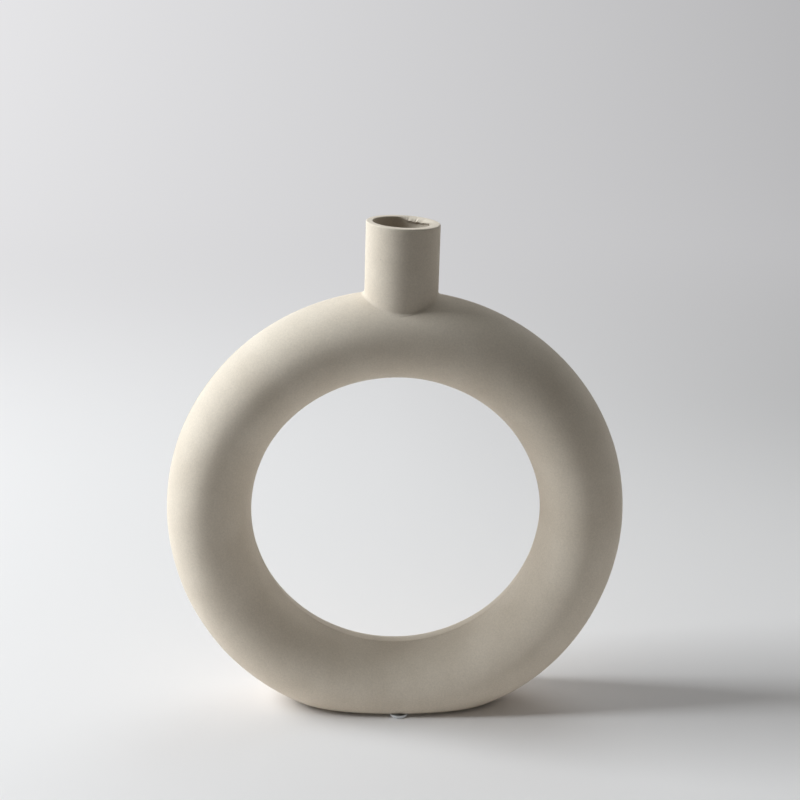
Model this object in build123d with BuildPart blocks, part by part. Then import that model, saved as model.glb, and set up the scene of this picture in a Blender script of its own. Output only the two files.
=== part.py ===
"""Donut vase: a hollow stoneware ring on a flat foot, with a short straight neck and four clear bumpers.

The ring lies in the XZ plane and faces -Y. The origin is on the floor, under the middle of the ring.
All lengths are in millimetres.
"""
from build123d import *
import os
from math import cos, radians, sin, sqrt, tan

# Driving dimensions of the ring
ring_mean_radius = 86.5         # centre of the ring to the middle of its tube
tube_half_thickness = 19.5      # half of the tube across, in the plane of the ring
tube_half_depth = 22.5          # half of the tube from front to back
seam_lead = 0.8                 # how far the curve of each half aims past the seam, for its faint ridge
body_wall = 4.5                 # wall of the cast shell
seam_thickness = 0.6            # slip between the two half shells
base_cut = 11.3                 # how much of the ring's lowest point the flat base takes away
base_edge_radius = 1.0          # rounding round the flat base

# Driving dimensions of the neck
neck_radius = 16.5              # outside of the neck
neck_wall = 4.25                # wall of the neck
neck_height = 31.5              # middle of the rim above the top of the ring, along the neck
neck_lean = 0.95                # degrees that the neck leans towards +X, about the centre of the ring
rim_slope = 2.2                 # degrees that the hand-cut rim falls towards +X, off square to the neck
lip_radius = 1.2                # rounding of the rim, inside and outside
slip_bead_radius = 3.0          # hollow of the slip smoothed into the corner under the neck

# Driving dimensions of the bumpers
foot_radius = 4.0               # bumper, where it is widest
foot_height = 1.4               # bumper from the floor to its adhesive
foot_skirt = 0.6                # straight side of the bumper below the adhesive
foot_contact_radius = 3.3       # flat of the bumper where it stands on the floor
adhesive_thickness = 0.2
adhesive_margin = 0.3           # bumper beyond its adhesive, all round
foot_edge_inset = 0.6           # rear bumper inside the edge of the flat base
foot_end_inset = 6.0            # left and right bumpers inside the ends of the flat base
front_foot_overhang = 2.1       # front bumper beyond the edge of the flat base, as it was stuck on
front_foot_shift = 2.0          # front bumper to the right of the middle, as it was stuck on

# Heights and radii that follow from them
base_height = foot_height + adhesive_thickness
ring_outer_radius = ring_mean_radius + tube_half_thickness
base_drop = ring_outer_radius - base_cut
ring_centre_height = base_height + base_drop
neck_bore_radius = neck_radius - neck_wall
neck_reach = tube_half_thickness + neck_height
rim_rise = neck_radius * tan(radians(rim_slope))
trim_span = 3 * ring_outer_radius       # wider than the whole vase, for the rectangles that trim a sketch

# Planes and axes
ring_centre = (0, 0, ring_centre_height)
ring_plane = Plane(ring_centre, x_dir=(1, 0, 0), z_dir=(0, 0, 1))
ring_axis = Axis(ring_centre, (0, 1, 0))
base_plane = Plane.XY.offset(base_height)
cavity_floor_plane = base_plane.offset(body_wall)
lean = radians(neck_lean)
neck_axis_plane = Plane(ring_centre, x_dir=(cos(lean), 0, -sin(lean)), z_dir=(sin(lean), 0, cos(lean)))
neck_root_plane = neck_axis_plane.offset(ring_mean_radius)
rim_plane = neck_root_plane.offset(neck_reach).rotated((0, rim_slope, 0))
seam_half_depth = seam_thickness / 2
front_seam_plane = Plane.XZ.offset(seam_half_depth)
above = (Align.CENTER, Align.MIN)
below = (Align.CENTER, Align.MAX)

# Half of the tube and of its hollow across, where the slip of the seam meets the front half
seam_share = (seam_lead + seam_half_depth) / (tube_half_depth + seam_lead)
seam_half_thickness = tube_half_thickness * sqrt(1 - seam_share**2)
hollow_half_thickness = tube_half_thickness - body_wall
hollow_half_depth = tube_half_depth - body_wall
seam_half_hollow = hollow_half_thickness * sqrt(1 - (seam_half_depth / hollow_half_depth) ** 2)

# The flat base is an oval: half of its length, and half of its depth under the middle of the ring
base_half_length = sqrt(ring_outer_radius**2 - base_drop**2)
base_share = (base_drop - ring_mean_radius) / tube_half_thickness
base_half_depth = (tube_half_depth + seam_lead) * sqrt(1 - base_share**2) - seam_lead

os.makedirs("parts", exist_ok=True)


# Front half of the ring's outer form: half of an oval tube carried round, cut flat below and rounded there
with BuildPart() as front_form:
    with BuildSketch(ring_plane):
        with Locations((ring_mean_radius, seam_lead)):
            Ellipse(tube_half_thickness, tube_half_depth + seam_lead)
        Rectangle(trim_span, trim_span, align=below, mode=Mode.INTERSECT)
    revolve(axis=ring_axis)
    split(bisect_by=base_plane, keep=Keep.TOP)
    fillet(faces().sort_by(Axis.Z)[0].edges().sort_by(Axis.Y)[0], base_edge_radius)

# Front half of the hollow inside, with its own flat floor over the base
with BuildPart() as front_hollow:
    with BuildSketch(ring_plane):
        with Locations((ring_mean_radius, 0)):
            Ellipse(hollow_half_thickness, hollow_half_depth)
        Rectangle(trim_span, trim_span, align=below, mode=Mode.INTERSECT)
    revolve(axis=ring_axis)
    split(bisect_by=cavity_floor_plane, keep=Keep.TOP)

# Bore of the neck, carried down into the hollow
with BuildPart() as neck_bore:
    with BuildSketch(neck_root_plane):
        Circle(neck_bore_radius)
    extrude(amount=neck_reach)

with BuildPart() as ring_front_half:
    add(front_form.part)
    add(front_hollow.part, mode=Mode.SUBTRACT)
    add(neck_bore.part, mode=Mode.SUBTRACT)
    split(bisect_by=front_seam_plane, keep=Keep.TOP)
ring_front_half.part.label = "ring_front_half"
export_step(ring_front_half.part, "parts/ring_front_half.step")

with BuildPart() as ring_rear_half:
    mirror(ring_front_half.part, about=Plane.XZ)
ring_rear_half.part.label = "ring_rear_half"
export_step(ring_rear_half.part, "parts/ring_rear_half.step")

# Slip between the halves: one band in the outside wall, open at the neck, and one round the hole
with BuildSketch(Plane.XZ) as seam_hollow:
    with Locations((0, ring_centre_height)):
        Circle(ring_mean_radius + seam_half_hollow)
        Circle(ring_mean_radius - seam_half_hollow, mode=Mode.SUBTRACT)
    with Locations((0, base_height + body_wall)):
        Rectangle(trim_span, trim_span, align=above, mode=Mode.INTERSECT)

with BuildPart() as ring_seam_slip:
    with BuildSketch(Plane.XZ):
        with Locations((0, ring_centre_height)):
            Circle(ring_mean_radius + seam_half_thickness)
        with Locations((0, base_height)):
            Rectangle(trim_span, trim_span, align=above, mode=Mode.INTERSECT)
        fillet(vertices(), base_edge_radius)
        add(seam_hollow.sketch, mode=Mode.SUBTRACT)
        with Locations((0, ring_centre_height)):
            Circle(ring_mean_radius - seam_half_thickness, mode=Mode.SUBTRACT)
    extrude(amount=seam_half_depth, both=True)
    add(neck_bore.part, mode=Mode.SUBTRACT)
ring_seam_slip.part.label = "ring_seam_slip"
export_step(ring_seam_slip.part, "parts/ring_seam_slip.step")

# Neck: a tube cut off along its sloping rim, which is rounded, its lower end coped to the ring
with BuildPart() as rear_form:
    mirror(front_form.part, about=Plane.XZ)

with BuildPart() as neck:
    with BuildSketch(neck_root_plane):
        Circle(neck_radius)
        Circle(neck_bore_radius, mode=Mode.SUBTRACT)
    extrude(amount=neck_reach + 2 * rim_rise)
    split(bisect_by=rim_plane, keep=Keep.BOTTOM)
    fillet(faces().sort_by(Axis.Z)[-1].edges(), lip_radius)
    add(front_form.part, mode=Mode.SUBTRACT)
    add(rear_form.part, mode=Mode.SUBTRACT)
neck.part.label = "neck"
export_step(neck.part, "parts/neck.step")

# Slip bead: the hollow fillet between neck and ring, made on the front half, parted from both and mirrored
with BuildPart() as front_plug:
    with BuildSketch(neck_root_plane):
        Circle(neck_radius)
        Rectangle(trim_span, trim_span, align=below, mode=Mode.INTERSECT)
    extrude(amount=neck_reach)

with BuildPart() as front_bead:
    add(front_form.part)
    add(front_plug.part)
    fillet(new_edges(front_form.part, front_plug.part, combined=front_bead.part), slip_bead_radius)
    add(front_form.part, mode=Mode.SUBTRACT)
    add(front_plug.part, mode=Mode.SUBTRACT)

with BuildPart() as neck_slip_bead:
    add(front_bead.part)
    mirror(front_bead.part, about=Plane.XZ)
neck_slip_bead.part.label = "neck_slip_bead"
export_step(neck_slip_bead.part, "parts/neck_slip_bead.step")

# Bumpers: a low clear disc with a short straight side, rounded to the flat it stands on, each on its adhesive
side_reach = base_half_length - foot_end_inset - foot_radius
front_reach = base_half_depth + front_foot_overhang - foot_radius
rear_reach = base_half_depth - foot_edge_inset - foot_radius
foot_places = {
    "front": (front_foot_shift, -front_reach),
    "rear": (0, rear_reach),
    "left": (-side_reach, 0),
    "right": (side_reach, 0),
}
curve_top = foot_height - foot_skirt
for place, (across, along) in foot_places.items():
    with BuildPart() as foot:
        with BuildSketch(Plane((across, along, 0), x_dir=(1, 0, 0), z_dir=(0, -1, 0))):
            with BuildLine():
                Polyline((0, 0), (0, foot_height), (foot_radius, foot_height), (foot_radius, curve_top))
                TangentArc((foot_radius, curve_top), (foot_contact_radius, 0), tangent=(0, -1))
                Line((foot_contact_radius, 0), (0, 0))
            make_face()
        revolve(axis=Axis((across, along, 0), (0, 0, 1)))
    foot.part.label = f"foot_{place}"
    export_step(foot.part, f"parts/foot_{place}.step")

    with BuildPart() as adhesive:
        with BuildSketch(Plane((across, along, foot_height))):
            Circle(foot_radius - adhesive_margin)
        extrude(amount=adhesive_thickness)
    adhesive.part.label = f"adhesive_{place}"
    export_step(adhesive.part, f"parts/adhesive_{place}.step")
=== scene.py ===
"""Donut vase: the finished looks of a hollow stoneware ring on a flat foot, with a short neck at its top.

Lengths are in metres in the frame of the model: the origin is on the floor under the middle of the ring,
the ring lies in the XZ plane and faces -Y, and +Z is up.
"""
from math import cos, pi, radians, sin, tan

import bpy
import numpy as np
from bpy.props import FloatProperty, FloatVectorProperty, PointerProperty
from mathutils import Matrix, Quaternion, Vector


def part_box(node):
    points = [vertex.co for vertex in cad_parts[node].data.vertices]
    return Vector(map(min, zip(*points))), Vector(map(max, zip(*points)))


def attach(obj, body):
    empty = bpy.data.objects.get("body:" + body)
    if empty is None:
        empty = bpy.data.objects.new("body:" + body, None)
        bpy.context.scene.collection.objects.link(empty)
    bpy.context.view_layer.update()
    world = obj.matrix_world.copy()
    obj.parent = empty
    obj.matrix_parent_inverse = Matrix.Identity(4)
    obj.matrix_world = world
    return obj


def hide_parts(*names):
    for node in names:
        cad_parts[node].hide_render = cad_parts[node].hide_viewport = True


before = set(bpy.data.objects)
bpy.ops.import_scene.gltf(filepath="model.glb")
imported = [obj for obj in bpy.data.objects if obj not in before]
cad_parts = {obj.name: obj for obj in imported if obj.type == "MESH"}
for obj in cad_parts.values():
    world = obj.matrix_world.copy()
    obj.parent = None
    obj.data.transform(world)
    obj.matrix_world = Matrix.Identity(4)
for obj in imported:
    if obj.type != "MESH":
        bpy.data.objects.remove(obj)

bl_info = {
    "name": "Donut vase",
    "version": (1, 0, 0),
    "blender": (4, 5, 0),
    "location": "View3D > Sidebar > Donut vase",
    "description": "Dresses the frame of a donut vase in matte stoneware, on a studio floor",
    "category": "Object",
}

MM = 0.001
IMAGE_SIDE = 800
FOOT_PLACES = ("front", "rear", "left", "right")
BLACK = (0.0, 0.0, 0.0, 1.0)

# Slight waves that the hand leaves in the clay: radians per metre along X, Y and Z, and the start of each
WAVE_TURNS = np.array([(131, 71, 0), (0, 0, 97), (-89, 0, 173), (211, 140, -120)])
WAVE_STARTS = np.array([0.7, 1.1, 2.3, 4.2])
WAVE_SINK = 1.1          # how far the waves lie under the true surface, in heights of a wave

# Knife's bevel inside the rim, in degrees round the mouth from the right to the back
BEVEL_BEGINS = (-35, 0)
BEVEL_DEEPENS = (-5, 55)
BEVEL_ENDS = (72, 100)
BEVEL_SHALLOW = 0.2      # share of its full drop before it deepens
BEVEL_CURVE = 1.8        # power by which it steepens on its way in

# Waves in the bevel's ragged edge: count round the mouth, height and start
EDGE_WAVES = ((17, 0.333, 1.0), (31, 0.267, 2.2), (53, 0.2, 0.4), (89, 0.167, 5.1))
# Nicks in that edge: degrees round the mouth, width and depth, which is negative for a burr
EDGE_NICKS = ((46, 1.5, 0.6), (57, 2.2, -0.9), (62, 1.8, 1.3),
              (70, 1.6, -0.8), (78, 1.5, 1.1), (84, 1.2, 0.7))
RAGGED_WIDTH = 0.12 * MM  # how far the edge wanders in and out
RAGGED_DROP = 0.24 * MM   # how far it wanders up and down

# Hollow under that edge: drop below it, and share of the way back to the wall of the mouth
UNDERCUT = ((0.25 * MM, 0.35), (0.7 * MM, 0.8), (1.3 * MM, 1.0))

BEAD_LEFT = 0.1          # share by which the slip bead reaches further at the left
BEAD_BACK = 0.65         # share by which it reaches further at the back
BEAD_FULLNESS = 0.75     # weight of the corner in its curve
SLOPE_STEP = 0.02 * MM   # distance over which the ring's slope is measured

# Where the ring and its hole are out of true: middle and width, in degrees of turn from the top towards +X
RIGHT_SWELL_AT = (143, 24)
LEFT_SWELL_AT = (219, 24)
HOLE_DROP_AT = (-10, 50)
HOLE_BULGE_AT = (85, 15)

# Clay: limits of its noises, and the tones and the roughness that they stand for
CLOUD_LIMITS = (0.35, 0.65)
GRAIN_LIMITS = (0.3, 0.7)
GRAIN_TONES = (0.93, 1.05)
CLAY_ROUGHNESS = (0.82, 0.96)
PORE_RARITY = 0.82       # share of the cells that have no pore
PORE_SIZE = 0.032        # radius of the largest pore, in spacings
PORE_EDGE = 0.012        # width of a pore's soft edge, in spacings

# Bumpers: least roughness, share of the light that passes through, and size of the dusty patches
RUBBER_FINISH = (0.25, 0.12, 1.5 * MM)
GLUE_FINISH = (0.4, 0.8, 0.8 * MM)
DUST_ROUGHNESS = 0.2     # how much rougher the dusty patches are
BENDING = 1.46           # index of refraction

# Sheet of paper: reach to each side and the front, start and radius of its bend, and top of the backdrop
FLOOR_REACH = 3.0
BEND_START = 1.0
BEND_RADIUS = 0.8
BACKDROP_HEIGHT = 2.5

# Stretches over which the paper changes, along Y or aside, which is to the sides and the front
# Painted shade on the floor behind: where it begins, and where it is full.
PAINTED_FLOOR_FALLOFF_ALONG = (0.05, 0.5)   # where the floor behind begins to be darker, and is fully darker
BOUNCE_ALONG = (-0.4, -0.15)     # where the floor in front lights the vase least, and fully
# The paper behind glows as painted light, though it is no lamp: where the glow begins, and where it is
# full.
GLOW_ALONG = (0.25, 1.05)        # where the paper behind begins to look lit, and is fully lit
FAR_ASIDE = (0.3, 0.7)           # the same to the sides and the front
DISTANT_ASIDE = (0.7, 1.4)       # where that light begins to follow the direction, and follows it alone

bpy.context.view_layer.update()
half_low, half_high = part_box("ring_front_half")
slip_low, slip_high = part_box("ring_seam_slip")


def length(name, description, default):
    """A length in metres that a user can change."""
    return FloatProperty(name=name, description=description, default=default, unit="LENGTH", precision=5)


def angle(name, description, degrees):
    """An angle that a user can change, given in degrees."""
    return FloatProperty(name=name, description=description, default=radians(degrees), subtype="ANGLE")


def power(name, description, watts):
    """The power of a lamp that a user can change."""
    return FloatProperty(name=name, description=description, default=watts, unit="POWER")


def share(name, description, default):
    """A plain number that a user can change."""
    return FloatProperty(name=name, description=description, default=default, precision=4)


def colour(name, description, default):
    """A linear colour that a user can change."""
    return FloatVectorProperty(name=name, description=description, default=default, subtype="COLOR",
                               size=3, min=0, max=1)


# Sizes and colours that a user would change

class RingSizes(bpy.types.PropertyGroup):
    """Sizes of the hollow ring"""

    outer_radius: length("Outer radius", "Centre of the ring to its outside", half_high.x)
    half_thickness: length("Half thickness", "Half of the tube in the plane of the ring", 19.5 * MM)
    half_depth: length("Half depth", "Half of the tube from front to back", -half_low.y)
    seam_lead: length("Seam lead", "How far the curve of each half aims past the seam", 0.8 * MM)
    seam_thickness: length("Seam", "Slip between the two halves", slip_high.y - slip_low.y)
    wall: length("Wall", "Wall of the shell", 4.5 * MM)
    base_height: length("Base height", "Flat base above the floor", half_low.z)
    base_cut: length("Base cut", "How much of the lowest point the flat base takes away", 11.3 * MM)
    base_rounding: length("Base rounding", "Half of the height of the base's rounded edge", 0.3 * MM)
    scrape_slope: share("Scrape slope", "How steeply the scraped front half falls away from the seam", 0.2)
    scrape_reach: length("Scrape reach", "Distance from the seam to the deepest of the scrape", 6 * MM)
    uneven: length("Unevenness", "Height of the slight waves that the hand leaves in the clay", 0.05 * MM)
    right_swell: length("Right swelling", "How far the ring stands out of true, lower right", 1.5 * MM)
    left_swell: length("Left swelling", "How far the ring stands out of true, lower left", 0.8 * MM)
    hole_drop: length("Hole drop", "How far the top of the hole hangs inside its circle", 0.5 * MM)
    hole_bulge: length("Hole bulge", "How far the right of the hole reaches out of its circle", 0.45 * MM)


class NeckSizes(bpy.types.PropertyGroup):
    """Sizes of the neck and of the slip at its root"""

    radius: length("Radius", "Outside of the neck", 16.5 * MM)
    wall: length("Wall", "Wall of the neck", 4.25 * MM)
    height: length("Height", "Middle of the rim above the top of the ring, along the neck", 31.3 * MM)
    lean: angle("Lean", "How far the neck leans to +X about the centre of the ring", 1.07)
    rim_slope: angle("Rim slope", "How far the rim falls to +X, off square to the neck", 1.9)
    rim_pitch: angle("Rim pitch", "How far the rim falls to the back", 1.3)
    lip_radius: length("Lip", "Rounding of the rim's outer edge", 0.6 * MM)
    mouth_radius: length("Mouth", "Inside of the neck below the rim", 12.9 * MM)
    mouth_shift: length("Mouth shift", "How far the mouth lies to the left in the neck", 0.5 * MM)
    mouth_edge: length("Mouth edge", "Rounding of the rim's inner edge", 0.4 * MM)
    bevel_width: length("Bevel width", "How far the knife's bevel cuts into the rim", 2.5 * MM)
    bevel_overhang: length("Bevel overhang", "How far the bevel's edge stands in over the bore", 1.0 * MM)
    bevel_drop: length("Bevel drop", "How far the bevel goes down", 1.7 * MM)
    bead_size: length("Slip bead", "Reach of the slip in the corner under the neck, on average", 1.6 * MM)


class BumperSizes(bpy.types.PropertyGroup):
    """Sizes of the clear bumpers that their nodes do not give, and their colours"""

    contact_radius: length("Contact", "Flat of the bumper where it stands", 3.3 * MM)
    skirt: length("Skirt", "Straight side below the adhesive", 0.6 * MM)
    spread: length("Spread", "How far the soft bumper is pressed out beyond its drawn size", 0.4 * MM)
    rubber: colour("Rubber", "Colour of the clear rubber", (0.9, 0.92, 0.94))
    glue: colour("Glue", "Colour of the adhesive", (0.86, 0.86, 0.83))


class ClayFinish(bpy.types.PropertyGroup):
    """Colours and grain of the matte stoneware"""

    light: colour("Clay", "Colour of the clay", (0.738, 0.657, 0.55))
    dark: colour("Dark clay", "Darker clouds in the clay", (0.687, 0.606, 0.501))
    # Painted shade in the pores: a dark colour for the shade in these small pits.
    pore: colour("Pores", "Colour inside a pore", (0.2, 0.17, 0.13))
    # Painted shade inside the neck's mouth and bore: the clay's colour is multiplied by this colour there.
    inside: colour("Inside", "What is left of the clay's colour inside the neck", (0.72, 0.71, 0.7))
    cloud_size: length("Clouds", "Size of the clouds in the clay", 22 * MM)
    grain_size: length("Grain", "Size of the grain", 0.8 * MM)
    grain_height: length("Grain height", "How far the grain stands up", 0.06 * MM)
    mark_size: length("Sponge marks", "Size of the marks that the sponge left", 3.5 * MM)
    pore_spacing: length("Pore spacing", "Distance between places where a pore can be", 7 * MM)
    gloss: share("Gloss", "Strength of the faint reflection on the clay", 0.25)


class StageSettings(bpy.types.PropertyGroup):
    """Camera, light and floor"""

    azimuth: angle("Camera azimuth", "Camera to the right of straight ahead", -1.072)
    elevation: angle("Camera elevation", "Camera above the centre of the ring", 22.203)
    distance: length("Camera distance", "Camera to the centre of the ring", 773.7 * MM)
    lens: share("Lens", "Focal length in millimetres on the camera's sensor", 74.575)
    aim_across: share("Aim across", "Pixel column of the ring's centre, before the roll", 396.125)
    aim_down: share("Aim down", "Pixel row of the ring's centre, before the roll", 511.558)
    roll: angle("Camera roll", "Turn of the camera about its line of sight", 0.5)
    key_azimuth: angle("Key azimuth", "Key light to the right of straight ahead", -91)
    key_elevation: angle("Key elevation", "Key light above the floor", 36)
    key_width: length("Key width", "Width of the key light", 0.72)
    key_height: length("Key height", "Height of the key light", 0.9)
    key_power: power("Key power", "Power of the key light", 36.5)
    key_colour: colour("Key colour", "Colour of the key light", (0.9, 0.955, 1.0))
    top_azimuth: angle("Top azimuth", "Soft light from above to the right of straight ahead", 155)
    top_elevation: angle("Top elevation", "Soft light from above, over the floor", 60)
    top_size: length("Top size", "Width and height of the soft light from above", 1.08)
    top_power: power("Top power", "Power of the soft light from above", 4.2)
    top_colour: colour("Top colour", "Colour of the soft light from above", (0.86, 0.95, 1.0))
    lamp_distance: length("Lamp distance", "Lamps to the centre of the ring", 1.8)
    sky_left: share("Sky left", "Strength of the room's light from the left", 0.65)
    sky_right: share("Sky right", "Strength of the room's light from the right", 0.45)
    sky_front: share("Sky front", "Strength of the room's light from in front", 0.02)
    sky_colour: colour("Sky colour", "Colour of the room's light", (1.0, 0.99, 0.95))
    floor_colour: colour("Floor", "Colour of the floor", (0.818, 0.79, 0.774))
    floor_roughness: share("Floor roughness", "Roughness of the floor", 0.9)
    # Painted shade: the floor behind is darker to the right, as the key's light falls off.
    painted_floor_falloff: share("Floor fall", "How much darker the floor behind is per metre to the right", 0.65)
    bounce_colour: colour("Bounce", "Floor's colour for the light that it sends back", (0.93, 0.9, 0.88))
    bounce_share: share("Bounce share", "How much of its light the floor in front sends back", 0.12)
    # Painted light: the backdrop glows in this colour, though it is no lamp, and darker to the right.
    painted_glow_colour: colour("Backdrop", "Colour of the lit backdrop behind the ring", (0.642, 0.64, 0.652))
    painted_glow_falloff: share("Backdrop fall", "How much darker the backdrop is per metre to the right", 0.453)
    side_limit: length("Side limit", "How far to each side the backdrop goes on changing", 0.6)


# Meshes

def grid_faces(rows, columns, close_rows, close_columns):
    """Quads between neighbouring points of a grid. A closed direction joins its last line to its first."""
    row = np.arange(rows if close_rows else rows - 1)[:, None]
    column = np.arange(columns if close_columns else columns - 1)[None, :]
    next_row = (row + 1) % rows
    next_column = (column + 1) % columns
    corners = [row * columns + column, row * columns + next_column,
               next_row * columns + next_column, next_row * columns + column]
    return np.stack([corner.ravel() for corner in np.broadcast_arrays(*corners)], axis=1)


def signed_volume(points, quads):
    """Volume inside the quads, which is negative where they face inwards."""
    a, b, c, d = (points[quads[:, k]] for k in range(4))
    return np.einsum("ij,ij->", a, np.cross(b, c) + np.cross(c, d)) / 6


def surface(name, grid, kind, sharp_angle=40):
    """New object from a grid of points (rows, columns, 3): a ring closed both ways, a rod closed round with
    flat caps, or an open sheet. A closed one is turned outwards. All are smooth but at edges sharper than
    sharp_angle degrees."""
    rows, columns = grid.shape[:2]
    points = grid.reshape(-1, 3)
    quads = grid_faces(rows, columns, kind == "ring", kind != "sheet")
    first = np.arange(columns)
    last = first + (rows - 1) * columns
    caps = [first[::-1].tolist(), last.tolist()]
    if kind != "sheet" and signed_volume(points - points.mean(axis=0), quads) < 0:
        quads = quads[:, ::-1]
        caps = [first.tolist(), last[::-1].tolist()]
    mesh = bpy.data.meshes.new(name)
    mesh.from_pydata(points.tolist(), [], quads.tolist() + (caps if kind == "rod" else []))
    mesh.shade_smooth()
    mesh.set_sharp_from_angle(angle=radians(sharp_angle))
    if mesh.validate():
        raise RuntimeError(f"The mesh of {name} is broken")
    piece = bpy.data.objects.new(name, mesh)
    bpy.context.scene.collection.objects.link(piece)
    return piece


def cut_away(piece, cutter):
    """Takes the cutter's volume out of the piece, and removes the cutter."""
    opening = piece.modifiers.new("opening", "BOOLEAN")
    opening.object = cutter
    opening.operation = "DIFFERENCE"
    opening.solver = "EXACT"
    whole = piece.data
    cut = bpy.data.meshes.new_from_object(piece.evaluated_get(bpy.context.evaluated_depsgraph_get()))
    if len(cut.polygons) in (0, len(whole.polygons)):
        raise RuntimeError(f"The cut in {piece.name} failed")
    piece.modifiers.clear()
    piece.data = cut
    cut.name = piece.name
    bpy.data.meshes.remove(whole)
    bpy.data.objects.remove(cutter)


def finish_piece(piece, slot, material, *nodes):
    """Gives a piece its material, hangs it on the body that carries it, and hides the nodes it stands for.
    """
    piece.data.materials.clear()
    piece.data.materials.append(material)
    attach(piece, "root")
    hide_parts(*nodes)


def whole_turn(count):
    """Angles that share a whole turn evenly, the last one short of the first."""
    return np.linspace(0, 2 * pi, count, endpoint=False)


def turned(radius, height, turn, x=0.0, y=0.0):
    """Points at a radius and height, turned from +X towards +Y about an upright axis through x and y."""
    return np.stack(np.broadcast_arrays(x + radius * np.cos(turn), y + radius * np.sin(turn), height), -1)


def smooth_step(value, low, high):
    """Rises from 0 at low to 1 at high, level at both ends."""
    s = np.clip((value - low) / (high - low), 0, 1)
    return s * s * (3 - 2 * s)


def bell(turn, middle, width):
    """Bell curve over the turn, with its middle and width in degrees."""
    away = (turn - radians(middle) + pi) % (2 * pi) - pi
    return np.exp(-((away / radians(width)) ** 2))


# Ring and its seam

def ring_centre(ring):
    """Height of the ring's centre: the flat base takes base_cut off the lowest point."""
    return ring.base_height + ring.outer_radius - ring.base_cut


def mean_radius(ring):
    """Centre of the ring to the middle of its tube."""
    return ring.outer_radius - ring.half_thickness


def around(radius, depth, turn, ring):
    """Points at a radius and depth, turned round the ring's centre from the top towards +X."""
    height = ring_centre(ring) + radius * np.cos(turn)
    return np.stack(np.broadcast_arrays(radius * np.sin(turn), depth, height), -1)


def unevenness(points, ring):
    """Slight waves in the clay, never above its true surface: four sine waves across space, two to seven
    centimetres long, of which the first two are multiplied and the others added."""
    first, second, third, fourth = np.moveaxis(np.sin(points @ WAVE_TURNS.T + WAVE_STARTS), -1, 0)
    return ring.uneven * ((first * second + third + fourth) / 3 - WAVE_SINK)


def scrape(depth, turn, ring):
    """How far the front half is scraped off beside the seam in the hole: the distance from the seam times a
    falling exponential of it, deepest at scrape_reach. It fades towards the top."""
    return ring.scrape_slope * depth * np.exp(-depth / ring.scrape_reach) * (0.5 - 0.5 * np.cos(turn)) ** 2


def outer_swell(turn, ring):
    """How far the hand-finished ring stands out of its circle: two bells at its lower sides."""
    return ring.right_swell * bell(turn, *RIGHT_SWELL_AT) + ring.left_swell * bell(turn, *LEFT_SWELL_AT)


def hole_swell(turn, ring):
    """How far the hole reaches out of its circle: a narrow bell at the right less a wide one on top."""
    return ring.hole_bulge * bell(turn, *HOLE_BULGE_AT) - ring.hole_drop * bell(turn, *HOLE_DROP_AT)


def on_base(height, flat, rounding):
    """Height held up by the flat: within the rounding to each side, a parabola joins it to the slope."""
    over = np.clip(height - flat, -rounding, None)
    return np.where(over > rounding, height, flat + (over + rounding) ** 2 / (4 * rounding))


def oval_normal(t, side, turn, ring):
    """Unit vectors square to the oval tube: the slope of the oval's equation, turned round the ring."""
    out = np.cos(t) / ring.half_thickness
    depth = side * np.sin(t) / (ring.half_depth + ring.seam_lead)
    normal = np.stack(np.broadcast_arrays(out * np.sin(turn), depth, out * np.cos(turn)), -1)
    return normal / np.linalg.norm(normal, axis=-1, keepdims=True)


def ring_outside(side, turn, ring, steps=120):
    """Outside of a half: half of an oval, at half_thickness * cos(t) from the tube's middle and at a depth
    of (half_depth + lead) * sin(t) - lead. The swellings shift it, and below it is pressed flat."""
    lead = ring.seam_lead
    seam = ring.seam_thickness / 2
    start = np.arcsin((lead + seam) / (ring.half_depth + lead))
    t = np.linspace(start, pi - start, steps)[None, :]
    depth = (ring.half_depth + lead) * np.sin(t) - lead
    outward = 0.5 + 0.5 * np.cos(t)
    swelling = outer_swell(turn, ring) * outward**2 + hole_swell(turn, ring) * (1 - outward) ** 2
    out = ring.half_thickness * np.cos(t) + swelling
    if side < 0:
        out = out + np.where(np.cos(t) < 0, scrape(depth - seam, turn, ring), 0)
    points = around(mean_radius(ring) + out, side * depth, turn, ring)
    points = points + oval_normal(t, side, turn, ring) * unevenness(points, ring)[..., None]
    points[..., 2] = on_base(points[..., 2], ring.base_height, ring.base_rounding)
    return points


def ring_hollow(side, turn, ring, steps=40):
    """Hollow of a half: half of an oval that is smaller by the wall, with a flat floor over the base."""
    reach = ring.half_thickness - ring.wall
    depth = ring.half_depth - ring.wall
    start = np.arcsin(ring.seam_thickness / 2 / depth)
    t = np.linspace(pi - start, start, steps)[None, :]
    points = around(mean_radius(ring) + reach * np.cos(t), side * depth * np.sin(t), turn, ring)
    points[..., 2] = np.maximum(points[..., 2], ring.base_height + ring.wall)
    return points


def ring_half(name, side, ring, turns=560):
    """Half of the shell: its outside, its hollow and the faces of the seam between them, as a closed loop
    carried round the ring."""
    turn = whole_turn(turns)[:, None]
    loop = np.concatenate([ring_outside(side, turn, ring), ring_hollow(side, turn, ring)], axis=1)
    return surface(name, loop, "ring")


def seam_edges(ring):
    """Half of the tube and half of its hollow where the slip meets a half: each oval's reach there."""
    seam = ring.seam_thickness / 2
    depth_share = (ring.seam_lead + seam) / (ring.half_depth + ring.seam_lead)
    hollow_share = seam / (ring.half_depth - ring.wall)
    edge = ring.half_thickness * np.sqrt(1 - depth_share**2)
    hollow_edge = (ring.half_thickness - ring.wall) * np.sqrt(1 - hollow_share**2)
    return edge, hollow_edge


def seam_band(inner_radius, outer_radius, turn, ring):
    """Band of slip: the rectangle between two radii and the two halves, carried round through the turns."""
    radii = np.broadcast_arrays(inner_radius, outer_radius, outer_radius, inner_radius)
    depth = np.array([-1, -1, 1, 1])[None, :] * ring.seam_thickness / 2
    return around(np.concatenate(radii, axis=1), depth, turn, ring)


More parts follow.
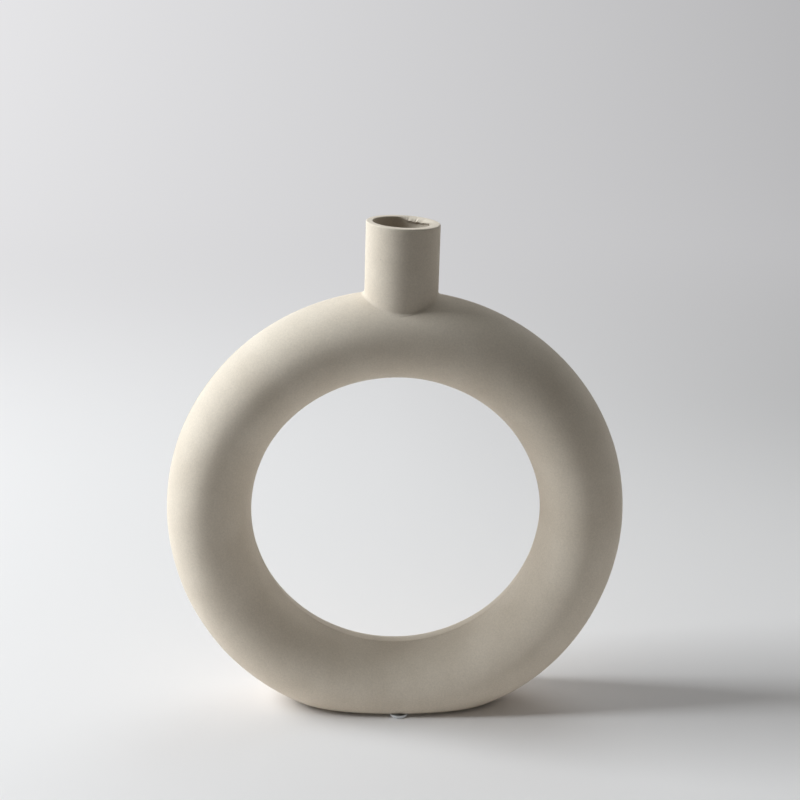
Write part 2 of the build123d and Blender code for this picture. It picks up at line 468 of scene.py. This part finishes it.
def hole_band(name, ring, turns=560):
    """Band of slip round the hole, closed in itself. Its inside follows the hole out of its circle."""
    edge, hollow_edge = seam_edges(ring)
    turn = whole_turn(turns)[:, None]
    hole = mean_radius(ring) - edge + hole_swell(turn, ring)
    band = seam_band(hole, mean_radius(ring) - hollow_edge, turn, ring)
    return surface(name, band, "ring")


def rim_band(name, ring, neck, turns=560):
    """Band of slip round the rim of the halves, open at the neck's bore and pressed flat below. Its outside
    follows the swellings, half the height of a wave inside them."""
    edge, hollow_edge = seam_edges(ring)
    inner = mean_radius(ring) + hollow_edge
    outer = mean_radius(ring) + edge
    opening = np.arcsin(bore_radius(neck) / np.array([inner, outer, outer, inner]))[None, :]
    turn = neck.lean + opening + (2 * pi - 2 * opening) * np.linspace(0, 1, turns)[:, None]
    swollen = outer - ring.uneven / 2 + outer_swell(turn[:, 1:2], ring)
    band = seam_band(inner, swollen, turn, ring)
    band[..., 2] = np.maximum(band[..., 2], ring.base_height + np.array([ring.wall, 0, 0, ring.wall]))
    return surface(name, band, "rod")


# Neck and its slip

def bore_radius(neck):
    """Inside of the neck at its root."""
    return neck.radius - neck.wall


def leaned(points, ring, neck):
    """Points of the upright neck, given from the ring's centre, leaned over and put in place."""
    x, y, z = points[..., 0], points[..., 1], points[..., 2]
    return np.stack([x * cos(neck.lean) + z * sin(neck.lean), y,
                     ring_centre(ring) + z * cos(neck.lean) - x * sin(neck.lean)], -1)


def neck_root(radius, turn, ring):
    """Height over the ring's centre at which a cylinder about the neck's axis meets the ring: the reach of
    the oval at that depth, less the ring's own curve."""
    x = radius * np.cos(turn)
    y = radius * np.sin(turn)
    depth_share = (np.abs(y) + ring.seam_lead) / (ring.half_depth + ring.seam_lead)
    reach = mean_radius(ring) + ring.half_thickness * np.sqrt(1 - depth_share**2)
    return np.sqrt(reach**2 - x**2)


def below_rim(radius, drop, turn, ring, neck):
    """Height at a drop under the rim, which slopes to the right and to the back."""
    fall = np.cos(turn) * tan(neck.rim_slope) + np.sin(turn) * tan(neck.rim_pitch)
    return ring.outer_radius + neck.height - radius * fall - drop


def mouth_radius(turn, neck):
    """Inside of the neck below the rim, from its axis: a circle that lies a little to the left."""
    return neck.mouth_radius - neck.mouth_shift * np.cos(turn)


def mouth_degrees(turn):
    """Turn round the mouth in degrees, from -90 to 270."""
    return np.degrees((turn + pi / 2) % (2 * pi)) - 90


def bevel_share(turn):
    """How much of the knife's bevel there is: all of it from the right to the back, else none."""
    degrees = mouth_degrees(turn)
    return smooth_step(degrees, *BEVEL_BEGINS) * (1 - smooth_step(degrees, *BEVEL_ENDS))


def bevel_fall(turn):
    """How far down the bevel goes, as a share of its full drop: little at the right, all behind."""
    return BEVEL_SHALLOW + (1 - BEVEL_SHALLOW) * smooth_step(mouth_degrees(turn), *BEVEL_DEEPENS)


def ragged(turn):
    """Raggedness of the bevel's edge: sine waves round the mouth, and nicks as narrow bells."""
    count, height, start = np.array(EDGE_WAVES).T
    waves = height * np.sin(count * turn[..., None] + start)
    place, width, depth = np.array(EDGE_NICKS).T
    nicks = depth * np.exp(-(((np.degrees(turn)[..., None] - place) / width) ** 2))
    return waves.sum(axis=-1) + nicks.sum(axis=-1)


def neck_outside(turn, ring, neck, wall_steps=40, lip_steps=7):
    """Wall and lip of the neck as radius, height and share of painted shade, which is none here: a straight
    line up from the ring, and a quarter circle over to the rim."""
    up = np.linspace(0, 1, wall_steps)[:, None]
    bend = np.linspace(0, pi / 2, lip_steps + 1)[1:, None]
    root = neck_root(neck.radius, turn, ring)
    shoulder = below_rim(neck.radius, neck.lip_radius, turn, ring, neck)
    wall_height = root + (shoulder - root) * up
    lip_radius = neck.radius - neck.lip_radius * (1 - np.cos(bend)) * np.ones_like(turn)
    lip_height = below_rim(lip_radius, neck.lip_radius * (1 - np.sin(bend)), turn, ring, neck)
    radius = np.concatenate([np.full_like(wall_height, neck.radius), lip_radius])
    return radius, np.concatenate([wall_height, lip_height]), np.zeros(wall_steps + lip_steps)


def neck_mouth(turn, ring, neck, rim_steps=4, bevel_steps=7):
    """Rim, inner edge and undercut as radius, height and share of painted shade, which grows over the bevel
    and is full in the undercut. The rim is a straight line. The inner edge is a quarter circle that, by the
    share of the bevel, becomes a power curve down to a ragged edge. The undercut goes back from that edge
    to the wall of the mouth."""
    bevel = bevel_share(turn)
    rough = ragged(turn)
    mouth = mouth_radius(turn, neck)
    outer_edge = neck.radius - neck.lip_radius
    inner_edge = mouth + neck.mouth_edge + neck.bevel_width * bevel
    rim_radius = outer_edge + (inner_edge - outer_edge) * np.linspace(0, 1, rim_steps + 1)[1:, None]
    rim_height = below_rim(rim_radius, 0.0, turn, ring, neck)
    way = np.linspace(0, 1, bevel_steps + 1)[1:, None]
    way_in = np.sin(way * pi / 2) * (1 - bevel) + way * bevel
    way_down = (1 - np.cos(way * pi / 2)) * (1 - bevel) + way**BEVEL_CURVE * bevel
    edge_radius = mouth - bevel * (neck.bevel_overhang - RAGGED_WIDTH * rough)
    bevel_drop = neck.bevel_drop * bevel_fall(turn) + RAGGED_DROP * rough
    edge_drop = neck.mouth_edge + bevel * (bevel_drop - neck.mouth_edge)
    bevel_radius = inner_edge + (edge_radius - inner_edge) * way_in
    bevel_height = below_rim(bevel_radius, edge_drop * way_down, turn, ring, neck)
    drop, back = np.array(UNDERCUT).T[..., None]
    under_radius = edge_radius + (mouth - edge_radius) * back
    under_height = below_rim(under_radius, edge_drop + drop, turn, ring, neck)
    radius = np.concatenate([rim_radius, bevel_radius, under_radius])
    height = np.concatenate([rim_height, bevel_height, under_height])
    # Share of painted shade: none on the rim, rising over the bevel, full in the undercut.
    shading = np.linspace(0, 1, bevel_steps) ** 3
    inside = np.concatenate([np.zeros(rim_steps), shading, np.ones(len(UNDERCUT))])
    return radius, height, inside


def neck_bore(turn, ring, neck, top, wall_steps=39, end_steps=5):
    """Bore and lower end as radius, height and share of painted shade, full down the bore and none on the
    end:
    a straight line down from the top that narrows to the bore, and the end of the tube, which follows the
    ring back to the outside."""
    bore = bore_radius(neck)
    mouth = mouth_radius(turn, neck)
    down = np.linspace(0, 1, wall_steps + 1)[1:, None]
    root = neck_root(bore, turn, ring)
    end_radius = bore + neck.wall * np.linspace(0, 1, end_steps + 2)[1:-1, None] * np.ones_like(turn)
    radius = np.concatenate([mouth + (bore - mouth) * down, end_radius])
    height = np.concatenate([top + (root - top) * down, neck_root(end_radius, turn, ring)])
    return radius, height, np.concatenate([np.ones(wall_steps), np.zeros(end_steps)])


def neck_tube(name, ring, neck, turns=480):
    """Tube whose profile is carried round its axis: up the outside and over the lip, across the rim and
    down the bevel, down the bore and along the lower end. An attribute carries the share of painted shade
    in its mouth and bore."""
    turn = whole_turn(turns)[None, :]
    outside = neck_outside(turn, ring, neck)
    mouth = neck_mouth(turn, ring, neck)
    bore = neck_bore(turn, ring, neck, mouth[1][-1:])
    radius, height, inside = (np.concatenate(rows) for rows in zip(outside, mouth, bore))
    points = leaned(turned(radius, height, turn), ring, neck)
    piece = surface(name, points, "ring", sharp_angle=80)
    # The share of painted shade for each point, which the clay's material reads.
    shade = piece.data.attributes.new("inside", "FLOAT", "POINT")
    shade.data.foreach_set("value", np.repeat(inside, turns))
    return piece


def bore_plug(ring, neck, turns=96):
    """Round rod along the neck's bore, from the middle of the ring's tube to the rim."""
    height = np.array([mean_radius(ring), ring.outer_radius + neck.height])[:, None]
    rod = turned(bore_radius(neck), height, whole_turn(turns)[None, :])
    return surface("bore_plug", leaned(rod, ring, neck), "rod")


def slip_bead(name, ring, neck, turns=240, hollow_steps=14):
    """Fillet carried round the neck's root: a rational parabola that leaves the neck upright and meets the
    ring along its own slope, closed behind by the corner. It is largest behind and smallest in front."""
    turn = whole_turn(turns)
    reach = neck.bead_size * (1 - BEAD_LEFT * np.cos(turn) + BEAD_BACK * np.sin(turn))
    low_radius = neck.radius + reach
    low_height = neck_root(low_radius, turn, ring)
    slope = (low_height - neck_root(low_radius + SLOPE_STEP, turn, ring)) / SLOPE_STEP
    control_height = low_height + slope * reach
    upper = turned(neck.radius, control_height + reach, turn)
    control = turned(neck.radius, control_height, turn)
    lower = turned(low_radius, low_height, turn)
    corner = turned(neck.radius, neck_root(neck.radius, turn, ring), turn)
    s = np.linspace(0, 1, hollow_steps)[:, None, None]
    pull = 2 * BEAD_FULLNESS * s * (1 - s)
    arc = ((1 - s) ** 2 * upper + pull * control + s**2 * lower) / ((1 - s) ** 2 + pull + s**2)
    loop = leaned(np.concatenate([arc, corner[None]]), ring, neck)
    return surface(name, loop, "ring")


# Bumpers

def dome(name, low, high, bumper, turns=64, dome_steps=20):
    """Bumper turned about its upright axis: a flat where it stands, an arc that leaves the straight side
    without a bend, and that side up to the adhesive. Its front stays where its node has it."""
    radius = (high.x - low.x) / 2 + bumper.spread
    top = high.z - low.z - bumper.skirt
    swing = radius - bumper.contact_radius - bumper.spread
    arc_radius = (top**2 + swing**2) / (2 * swing)
    t = np.linspace(np.arctan2(top, arc_radius - swing), 0, dome_steps)
    profile_radius = np.append(radius - arc_radius * (1 - np.cos(t)), radius)[:, None]
    profile_height = np.append(top - arc_radius * np.sin(t), high.z - low.z)[:, None]
    points = turned(profile_radius, low.z + profile_height, whole_turn(turns)[None, :],
                    (low.x + high.x) / 2, low.y + radius)
    return surface(name, points, "rod", sharp_angle=50)


def disc(name, low, high, turns=64):
    """Flat round pad: a circle carried from its lower to its upper edge."""
    height = np.linspace(low.z, high.z, 3)[:, None]
    points = turned((high.x - low.x) / 2, height, whole_turn(turns)[None, :],
                    (low.x + high.x) / 2, (low.y + high.y) / 2)
    return surface(name, points, "rod")


# Materials

class Nodes:
    """Adds nodes to the tree of a material or world and links them."""

    def __init__(self, owner):
        owner.use_nodes = True
        self.owner = owner
        self.tree = owner.node_tree
        self.shader = self.tree.nodes.get("Principled BSDF")

    def add(self, kind, inputs=(), **settings):
        """New node with its settings, and its inputs as values or as sockets to link."""
        node = self.tree.nodes.new(kind)
        for key, value in settings.items():
            setattr(node, key, value)
        for key, value in dict(inputs).items():
            self.feed(node.inputs[key], value)
        return node

    def feed(self, socket, value):
        """Links another node's socket to an input, or sets the input's value."""
        if isinstance(value, bpy.types.NodeSocket):
            self.tree.links.new(value, socket)
        else:
            socket.default_value = value

    def shade(self, **inputs):
        """Feeds inputs of the shader, whose names are written with underscores."""
        for key, value in inputs.items():
            self.feed(self.shader.inputs[key.replace("_", " ")], value)

    def math(self, a, operation, b=0.0):
        """Result of a Math node."""
        return self.add("ShaderNodeMath", {0: a, 1: b}, operation=operation).outputs[0]

    def mix(self, factor, a, b, blend_type="MIX"):
        """Result of a colour Mix node."""
        node = self.add("ShaderNodeMix", data_type="RGBA", blend_type=blend_type)
        colour_inputs = [socket for socket in node.inputs if socket.type == "RGBA"]
        self.feed(node.inputs["Factor"], factor)
        self.feed(colour_inputs[0], a)
        self.feed(colour_inputs[1], b)
        return next(socket for socket in node.outputs if socket.type == "RGBA")

    def span(self, value, low, high, least=0.0, most=1.0, interpolation="LINEAR"):
        """Goes from least to most while the value goes from low to high, and stays there."""
        limits = {"Value": value, "From Min": low, "From Max": high, "To Min": least, "To Max": most}
        return self.add("ShaderNodeMapRange", limits, interpolation_type=interpolation).outputs["Result"]

    def ramp(self, value, low, high, least=0.0):
        """Smooth rise from least to 1 while the value goes from low to high."""
        return self.span(value, low, high, least, 1.0, "SMOOTHSTEP")

    def place(self):
        """Where a point lies on the object."""
        return self.add("ShaderNodeTexCoord").outputs["Object"]

    def noise(self, place, size, detail, roughness=0.5):
        """Soft noise of a given size."""
        inputs = {"Vector": place, "Scale": 1 / size, "Detail": detail, "Roughness": roughness}
        return self.add("ShaderNodeTexNoise", inputs).outputs["Fac"]

    def axes(self, place):
        """Coordinates of a place by the names of their axes."""
        return self.add("ShaderNodeSeparateXYZ", {"Vector": place}).outputs

    def seen(self):
        """1 for what the camera sees, straight or by way of a shiny piece, and 0 for light on its way."""
        path = self.add("ShaderNodeLightPath").outputs
        shiny = self.math(path["Is Glossy Ray"], "MAXIMUM", path["Is Transmission Ray"])
        return self.math(path["Is Camera Ray"], "MAXIMUM", shiny)


def opaque(value):
    """A colour with its alpha of one."""
    return (*value, 1.0)


def clay_pores(nodes, place, clay):
    """1 inside a pore and 0 outside: a round spot of varied size in a few cells of a Voronoi pattern."""
    cells = nodes.add("ShaderNodeTexVoronoi", {"Vector": place, "Scale": 1 / clay.pore_spacing}).outputs
    chance = nodes.add("ShaderNodeSeparateColor", {"Color": cells["Color"]}).outputs["Red"]
    size = nodes.span(chance, PORE_RARITY, 1.0, 0.0, PORE_SIZE)
    return nodes.span(nodes.math(size, "SUBTRACT", cells["Distance"]), 0.0, PORE_EDGE)


def clay_colour(nodes, place, grain, pore, clay):
    """Light and dark clouds, toned by the grain, darkened in the pores and inside the neck's mouth and bore
    by painted shade.
    """
    clouds = nodes.span(nodes.noise(place, clay.cloud_size, detail=4.0), *CLOUD_LIMITS)
    body = nodes.mix(clouds, opaque(clay.dark), opaque(clay.light))
    tone = nodes.span(grain, *GRAIN_LIMITS, *GRAIN_TONES)
    grey = nodes.add("ShaderNodeCombineColor", {"Red": tone, "Green": tone, "Blue": tone}).outputs["Color"]
    body = nodes.mix(1.0, body, grey, "MULTIPLY")
    # Painted shade in the pores, whose pits are also in the bump.
    body = nodes.mix(pore, body, opaque(clay.pore))
    # Painted shade inside the neck's mouth and bore, by the share that the mesh carries.
    inside = nodes.add("ShaderNodeAttribute", attribute_name="inside").outputs["Fac"]
    return nodes.mix(inside, body, opaque(clay.inside), "MULTIPLY")


def stoneware(name, clay):
    """Matte bisque: clouds, fine grain and a few pores darkened by painted shade in the colour, and the
    grain again as bump, with the wider marks of the sponge."""
    nodes = Nodes(bpy.data.materials.new(name))
    place = nodes.place()
    grain = nodes.noise(place, clay.grain_size, detail=3.0, roughness=0.6)
    marks = nodes.noise(place, clay.mark_size, detail=2.0)
    pore = clay_pores(nodes, place, clay)
    relief = nodes.math(nodes.math(grain, "ADD", marks), "SUBTRACT", pore)
    bump = nodes.add("ShaderNodeBump", {"Height": relief, "Distance": clay.grain_height, "Strength": 1.0})
    nodes.shade(Base_Color=clay_colour(nodes, place, grain, pore, clay),
                Roughness=nodes.span(grain, 0.0, 1.0, *CLAY_ROUGHNESS),
                Normal=bump.outputs["Normal"],
                Specular_IOR_Level=clay.gloss)
    return nodes.owner


def clear_rubber(name, tint, roughness, clearness, dust_size):
    """Clear soft rubber, through which a share of the light passes, rougher in patches of dust."""
    nodes = Nodes(bpy.data.materials.new(name))
    dust = nodes.noise(nodes.place(), dust_size, detail=3.0)
    nodes.shade(Base_Color=opaque(tint),
                Roughness=nodes.span(dust, 0.0, 1.0, roughness, roughness + DUST_ROUGHNESS),
                Transmission_Weight=clearness,
                IOR=BENDING)
    return nodes.owner


def painted_backdrop_glow(nodes, place, axes, aside, stage):
    """Brightness of the paper's painted glow. Near the vase it falls evenly to the right, as painted
    falloff of the key's light. Far away it depends on the direction alone, as that of the room does, so
    that the two meet without a step."""
    limits = {"Value": axes["X"], "Min": -stage.side_limit, "Max": stage.side_limit}
    near_side = nodes.add("ShaderNodeClamp", limits).outputs["Result"]
    reach = nodes.add("ShaderNodeVectorMath", {0: place}, operation="LENGTH").outputs["Value"]
    far_side = nodes.math(nodes.math(axes["X"], "DIVIDE", reach), "MULTIPLY", stage.side_limit)
    distant = nodes.ramp(aside, *DISTANT_ASIDE)
    change = nodes.math(nodes.math(far_side, "SUBTRACT", near_side), "MULTIPLY", distant)
    side = nodes.math(near_side, "ADD", change)
    return nodes.math(nodes.math(side, "MULTIPLY", -stage.painted_glow_falloff), "ADD", 1.0)


def floor_paint(nodes, axes, backdrop, stage):
    """Colour of the matt paper: darkened behind at the right by painted shade, and black where the
    backdrop's painted glow takes over. Light on its way to the vase sees a paler paper, which fades in
    front."""
    # Painted shade: darker to the right behind the vase, as the key's light falls off.
    right = nodes.math(nodes.math(axes["X"], "MAXIMUM", 0.0), "MULTIPLY", stage.painted_floor_falloff)
    behind = nodes.ramp(axes["Y"], *PAINTED_FLOOR_FALLOFF_ALONG)
    floor = nodes.mix(nodes.math(right, "MULTIPLY", behind), opaque(stage.floor_colour), BLACK)
    bounced = nodes.add("ShaderNodeLightPath").outputs["Is Diffuse Ray"]
    bounce = nodes.ramp(axes["Y"], *BOUNCE_ALONG, stage.bounce_share)
    dimmed = nodes.math(bounced, "MULTIPLY", nodes.math(1.0, "SUBTRACT", bounce))
    base = nodes.mix(bounced, floor, opaque(stage.bounce_colour))
    return nodes.mix(nodes.math(backdrop, "MAXIMUM", dimmed), base, BLACK)


def paper(name, stage):
    """Pale paper that lies matt on the floor and turns, further back, into a backdrop that glows as painted
    light, darker to the right. Far from the vase it looks like that backdrop from every side."""
    nodes = Nodes(bpy.data.materials.new(name))
    place = nodes.place()
    axes = nodes.axes(place)
    in_front = nodes.math(axes["Y"], "MULTIPLY", -1.0)
    aside = nodes.math(nodes.math(axes["X"], "ABSOLUTE"), "MAXIMUM", in_front)
    far = nodes.math(nodes.ramp(aside, *FAR_ASIDE), "MULTIPLY", nodes.seen())
    backdrop = nodes.math(nodes.ramp(axes["Y"], *GLOW_ALONG), "MAXIMUM", far)
    level = painted_backdrop_glow(nodes, place, axes, aside, stage)
    # Painted light: the paper behind glows in the backdrop's colour, darker to the right.
    nodes.shade(Base_Color=floor_paint(nodes, axes, backdrop, stage),
                Emission_Color=opaque(stage.painted_glow_colour),
                Emission_Strength=nodes.math(level, "MULTIPLY", backdrop),
                Roughness=stage.floor_roughness,
                Specular_IOR_Level=0.0)
    return nodes.owner


def room_light(name, stage):
    """World whose weak light comes from three sides, by the square of the cosine off each, and hardly from
    above. Seen straight or by way of a shiny piece, it is as pale as the backdrop, with the same painted
    glow that grows darker to the right."""
    nodes = Nodes(bpy.data.worlds.new(name))
    axes = nodes.axes(nodes.add("ShaderNodeTexCoord").outputs["Generated"])
    sides = (("X", -1, stage.sky_left), ("X", 1, stage.sky_right), ("Y", -1, stage.sky_front))
    level = 0.0
    for axis, sign, strength in sides:
        cosine = nodes.math(nodes.math(axes[axis], "MULTIPLY", sign), "MAXIMUM", 0.0)
        lobe = nodes.math(nodes.math(cosine, "POWER", 2.0), "MULTIPLY", strength)
        level = nodes.math(lobe, "ADD", level)
    seen = nodes.seen()
    # Painted falloff: the pale world that is seen grows darker to the right, as the backdrop's glow does.
    fall = nodes.math(nodes.math(axes["X"], "MULTIPLY", -stage.painted_glow_falloff * stage.side_limit), "ADD", 1.0)
    pale = nodes.math(fall, "MULTIPLY", seen)
    level = nodes.math(level, "MULTIPLY", nodes.math(1.0, "SUBTRACT", seen))
    background = nodes.tree.nodes["Background"].inputs
    nodes.feed(background["Color"], nodes.mix(seen, opaque(stage.sky_colour), opaque(stage.painted_glow_colour)))
    nodes.feed(background["Strength"], nodes.math(level, "ADD", pale))
    return nodes.owner


def clay_material(context):
    """The stoneware, made once and shared by every piece of clay."""
    return bpy.data.materials.get("matte_clay") or stoneware("matte_clay", context.scene.donut_clay)


# Stage

def direction(azimuth, elevation):
    """Unit vector that is turned to the right of straight ahead, and raised above the floor."""
    return Vector((sin(azimuth) * cos(elevation), -cos(azimuth) * cos(elevation), sin(elevation)))


def hang_lamp(name, centre, way, width, height, watts, tint):
    """Rectangular lamp that lies along the way from the ring's centre and shines at it."""
    lamp = bpy.data.lights.new(name, "AREA")
    lamp.shape = "RECTANGLE"
    lamp.size = width
    lamp.size_y = height
    lamp.energy = watts
    lamp.color = tint
    hung = bpy.data.objects.new(name, lamp)
    hung.location = centre + way
    hung.rotation_euler = (-way).to_track_quat("-Z", "Y").to_euler()
    bpy.context.scene.collection.objects.link(hung)


def lay_paper(stage, bend_steps=24):
    """A sheet of paper: a flat floor that turns up into a backdrop along a quarter circle."""
    across = np.linspace(-FLOOR_REACH, FLOOR_REACH, 3)[None, :]
    t = np.linspace(0, pi / 2, bend_steps)
    upright = BEND_START + BEND_RADIUS
    along = np.concatenate([[-FLOOR_REACH], BEND_START + BEND_RADIUS * np.sin(t), [upright]])
    height = np.concatenate([[0.0], BEND_RADIUS * (1 - np.cos(t)), [BACKDROP_HEIGHT]])
    grid = np.stack(np.broadcast_arrays(across, along[:, None], height[:, None]), -1)
    sheet = surface("studio_floor", grid, "sheet")
    sheet.data.flip_normals()
    sheet.data.materials.append(paper("studio_paper", stage))


def light_room(scene, stage, centre):
    """An upright key light from the side, a weak soft one from above and behind, and the room's own."""
    key = direction(stage.key_azimuth, stage.key_elevation) * stage.lamp_distance
    hang_lamp("key", centre, key, stage.key_width, stage.key_height, stage.key_power, stage.key_colour)
    top = direction(stage.top_azimuth, stage.top_elevation) * stage.lamp_distance
    hang_lamp("top", centre, top, stage.top_size, stage.top_size, stage.top_power, stage.top_colour)
    scene.world = room_light("studio", stage)


def aim_camera(scene, stage, centre):
    """Puts the camera at its azimuth, elevation and distance from the ring, and turns it until the ring's
    centre lands at the given pixel."""
    back = direction(stage.azimuth, stage.elevation)
    right = (-back).cross(Vector((0, 0, 1))).normalized()
    up = right.cross(-back)
    lens = bpy.data.cameras.new("camera")
    lens.lens = stage.lens
    lens.clip_start = 10 * MM
    focal = stage.lens / lens.sensor_width * IMAGE_SIDE
    middle = IMAGE_SIDE / 2
    aim = -back - right * (stage.aim_across - middle) / focal + up * (stage.aim_down - middle) / focal
    camera = bpy.data.objects.new("camera", lens)
    camera.location = centre + back * stage.distance
    camera.rotation_euler = (aim.to_track_quat("-Z", "Y") @ Quaternion((0, 0, 1), stage.roll)).to_euler()
    scene.collection.objects.link(camera)
    scene.camera = camera


# Operators

class DONUT_OT_ring_halves(bpy.types.Operator):
    """Make the two hollow halves of the ring, opened under the neck"""

    bl_idname = "donut_vase.ring_halves"
    bl_label = "Ring halves"

    def execute(self, context):
        ring = context.scene.donut_ring
        for name, side in (("ring_front_half", -1), ("ring_rear_half", 1)):
            piece = ring_half("dressed_" + name, side, ring)
            cut_away(piece, bore_plug(ring, context.scene.donut_neck))
            finish_piece(piece, "stoneware", clay_material(context), name)
        return {"FINISHED"}


class DONUT_OT_seam_slip(bpy.types.Operator):
    """Make the two bands of slip that join the halves"""

    bl_idname = "donut_vase.seam_slip"
    bl_label = "Seam slip"

    def execute(self, context):
        piece = hole_band("dressed_seam_slip", context.scene.donut_ring)
        second = rim_band("rim_band", context.scene.donut_ring, context.scene.donut_neck)
        with context.temp_override(active_object=piece, selected_editable_objects=[piece, second]):
            bpy.ops.object.join()
        finish_piece(piece, "slip", clay_material(context), "ring_seam_slip")
        return {"FINISHED"}


class DONUT_OT_neck(bpy.types.Operator):
    """Make the neck with its rounded lip and the knife's bevel in its mouth"""

    bl_idname = "donut_vase.neck"
    bl_label = "Neck"

    def execute(self, context):
        piece = neck_tube("dressed_neck", context.scene.donut_ring, context.scene.donut_neck)
        finish_piece(piece, "stoneware", clay_material(context), "neck")
        return {"FINISHED"}


class DONUT_OT_slip_bead(bpy.types.Operator):
    """Make the bead of slip in the corner under the neck"""

    bl_idname = "donut_vase.slip_bead"
    bl_label = "Slip bead"

    def execute(self, context):
        piece = slip_bead("dressed_slip_bead", context.scene.donut_ring, context.scene.donut_neck)
        finish_piece(piece, "slip", clay_material(context), "neck_slip_bead")
        return {"FINISHED"}


class DONUT_OT_bumpers(bpy.types.Operator):
    """Make the clear bumpers and their adhesive discs under the base"""

    bl_idname = "donut_vase.bumpers"
    bl_label = "Bumpers"

    def execute(self, context):
        bumper = context.scene.donut_bumpers
        rubber = clear_rubber("bumper_rubber", bumper.rubber, *RUBBER_FINISH)
        glue = clear_rubber("bumper_glue", bumper.glue, *GLUE_FINISH)
        for place in FOOT_PLACES:
            foot = dome("dressed_foot_" + place, *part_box("foot_" + place), bumper)
            finish_piece(foot, "clear_bumper", rubber, "foot_" + place)
            pad = disc("dressed_adhesive_" + place, *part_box("adhesive_" + place))
            finish_piece(pad, "adhesive", glue, "adhesive_" + place)
        return {"FINISHED"}


class DONUT_OT_stage(bpy.types.Operator):
    """Set the floor, the light and the camera"""

    bl_idname = "donut_vase.stage"
    bl_label = "Studio"

    def execute(self, context):
        stage = context.scene.donut_stage
        centre = Vector((0, 0, ring_centre(context.scene.donut_ring)))
        lay_paper(stage)
        light_room(context.scene, stage, centre)
        aim_camera(context.scene, stage, centre)
        context.scene.view_settings.view_transform = "Standard"
        return {"FINISHED"}


class DONUT_PT_panel(bpy.types.Panel):
    """Lists the steps of the donut vase and their settings"""

    bl_idname = "DONUT_PT_panel"
    bl_label = "Donut vase"
    bl_space_type = "VIEW_3D"
    bl_region_type = "UI"
    bl_category = "Donut vase"

    def draw(self, context):
        for group, steps in STEPS:
            box = self.layout.box()
            for step in steps:
                box.operator(step.bl_idname)
            settings = getattr(context.scene, group)
            for key in settings.__annotations__:
                box.prop(settings, key)


GROUPS = {
    "donut_ring": RingSizes,
    "donut_neck": NeckSizes,
    "donut_bumpers": BumperSizes,
    "donut_clay": ClayFinish,
    "donut_stage": StageSettings,
}
STEPS = (
    ("donut_ring", (DONUT_OT_ring_halves, DONUT_OT_seam_slip)),
    ("donut_neck", (DONUT_OT_neck, DONUT_OT_slip_bead)),
    ("donut_bumpers", (DONUT_OT_bumpers,)),
    ("donut_clay", ()),
    ("donut_stage", (DONUT_OT_stage,)),
)
CLASSES = (*GROUPS.values(), *(step for _, steps in STEPS for step in steps), DONUT_PT_panel)


def register():
    """Registers the classes and hangs the settings on the scene."""
    for one in CLASSES:
        bpy.utils.register_class(one)
    for name, group in GROUPS.items():
        setattr(bpy.types.Scene, name, PointerProperty(type=group))


def unregister():
    """Takes the settings and the classes away again."""
    for name in GROUPS:
        delattr(bpy.types.Scene, name)
    for one in reversed(CLASSES):
        bpy.utils.unregister_class(one)


def main():
    """Makes every piece in order."""
    register()
    bpy.ops.donut_vase.ring_halves()
    bpy.ops.donut_vase.seam_slip()
    bpy.ops.donut_vase.neck()
    bpy.ops.donut_vase.slip_bead()
    bpy.ops.donut_vase.bumpers()
    bpy.ops.donut_vase.stage()


if __name__ == "__main__":
    main()
